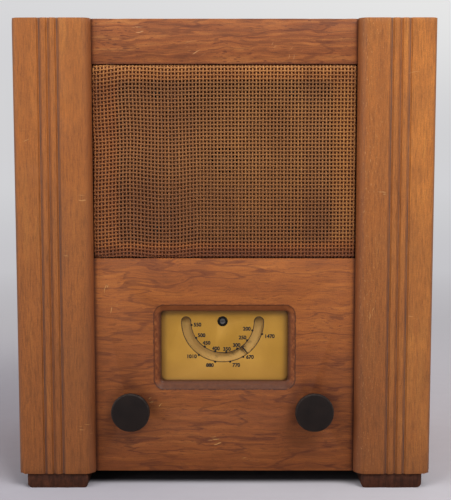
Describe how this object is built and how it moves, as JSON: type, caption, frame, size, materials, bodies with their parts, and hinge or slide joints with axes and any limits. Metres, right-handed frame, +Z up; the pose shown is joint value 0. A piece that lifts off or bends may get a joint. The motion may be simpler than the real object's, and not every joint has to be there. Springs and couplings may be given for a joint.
{
  "type": "tube radio",
  "caption": "Upright wooden table radio with grooved pilasters, a woven speaker cloth, an arc dial with pointer and two black knobs.",
  "frame": {"origin": "centre of the overall box in plan, at the level that the feet stand on", "axes": "+Z up, -Y the front with the dial, +X to the right seen from the front"},
  "size_m": [0.305, 0.204, 0.3455],
  "materials": {
    "pilaster_wood": "satin",
    "panel_wood": "satin",
    "rail_wood": "satin",
    "side_wood": "satin",
    "base_wood": "matte",
    "batten_wood": "matte",
    "foot_wood": "matte",
    "hardboard": "matte",
    "screw_steel": "satin",
    "board_wood": "matte",
    "cloth": "matte",
    "baffle_board": "matte",
    "dial_paint": "satin",
    "dial_card": "matte",
    "brass": "satin",
    "lamp_metal": "satin",
    "knob_plastic": "satin",
    "spindle_steel": "satin",
    "cord_thread": "matte",
    "drum_metal": "satin",
    "pointer_black": "matte",
    "pivot_metal": "satin",
    "chassis_steel": "satin",
    "plated_steel": "satin",
    "vane_metal": "satin",
    "brown_moulding": "gloss",
    "valve_glass": "gloss",
    "electrode_metal": "matte",
    "core_iron": "satin",
    "coil_paper": "matte",
    "can_metal": "satin",
    "paxolin": "satin",
    "resistor_body": "matte",
    "waxed_paper": "satin",
    "grommet_rubber": "matte",
    "speaker_steel": "satin",
    "magnet_iron": "satin",
    "spider_cloth": "matte",
    "cone_paper": "matte"
  },
  "bodies": {
    "cabinet": {"side_left": "side_wood", "side_right": "side_wood", "top_board": "side_wood", "base_board": "base_wood", "pilaster_left": "pilaster_wood", "pilaster_right": "pilaster_wood", "top_rail": "rail_wood", "front_panel": "panel_wood", "battens": "batten_wood", "feet": "foot_wood", "back_cover": "hardboard", "back_screws": "screw_steel", "wood_screws": "screw_steel", "speaker_board": "board_wood", "speaker_cloth": "cloth", "speaker_baffle": "baffle_board", "dial_plate": "dial_paint", "dial_backing": "dial_card", "dial_spacers": "brass", "dial_lamp": "lamp_metal", "tuning_bush": "brass", "drive_cord": "cord_thread", "volume_control": "brown_moulding", "bush_nuts": "plated_steel", "chassis_frame": "chassis_steel", "chassis_deck": "chassis_steel", "chassis_bolts": "screw_steel", "condenser_frame": "plated_steel", "condenser_stator": "vane_metal", "valve_holders": "brown_moulding", "valve_bases": "brown_moulding", "valve_envelopes": "valve_glass", "valve_electrodes": "electrode_metal", "mains_core": "core_iron", "mains_coil": "coil_paper", "output_transformer": "core_iron", "coil_cans": "can_metal", "smoothing_can": "can_metal", "tag_board": "paxolin", "resistors": "resistor_body", "paper_capacitors": "waxed_paper", "socket_strips": "paxolin", "sockets": "brass", "mains_grommet": "grommet_rubber", "speaker_frame": "speaker_steel", "speaker_magnet": "magnet_iron", "speaker_spider": "spider_cloth", "speaker_bolts": "screw_steel"},
    "drum": {"drive_drum": "drum_metal", "drum_screw": "screw_steel", "pointer": "pointer_black", "pointer_screw": "pivot_metal", "condenser_rotor": "vane_metal"},
    "tuning": {"tuning_knob": "knob_plastic", "tuning_knob_screw": "screw_steel", "tuning_spindle": "spindle_steel"},
    "volume": {"volume_knob": "knob_plastic", "volume_knob_screw": "screw_steel", "volume_spindle": "spindle_steel"},
    "cone": {"speaker_cone": "cone_paper"}
  },
  "joints": [
    {"name": "tuning_drum", "type": "hinge", "parent": "cabinet", "child": "drum", "pos_m": [-0.0015, -0.06, 0.123], "axis": [0, 1, 0], "range_deg": [-53, 127]},
    {"name": "tuning_turn", "type": "hinge", "parent": "cabinet", "child": "tuning", "pos_m": [0.066, -0.06, 0.0595], "axis": [0, 1, 0], "range_deg": [-371, 889]},
    {"name": "volume_turn", "type": "hinge", "parent": "cabinet", "child": "volume", "pos_m": [-0.069, -0.06, 0.0595], "axis": [0, 1, 0], "range_deg": [0, 300]},
    {"name": "cone_travel", "type": "slide", "parent": "cabinet", "child": "cone", "axis": [0, 1, 0], "range_m": [-0.001, 0.001], "stiffness_N_per_m": 1500}
  ],
  "couplings": [
    {"joint": "tuning_turn", "follows": "tuning_drum", "ratio": 7}
  ]
}
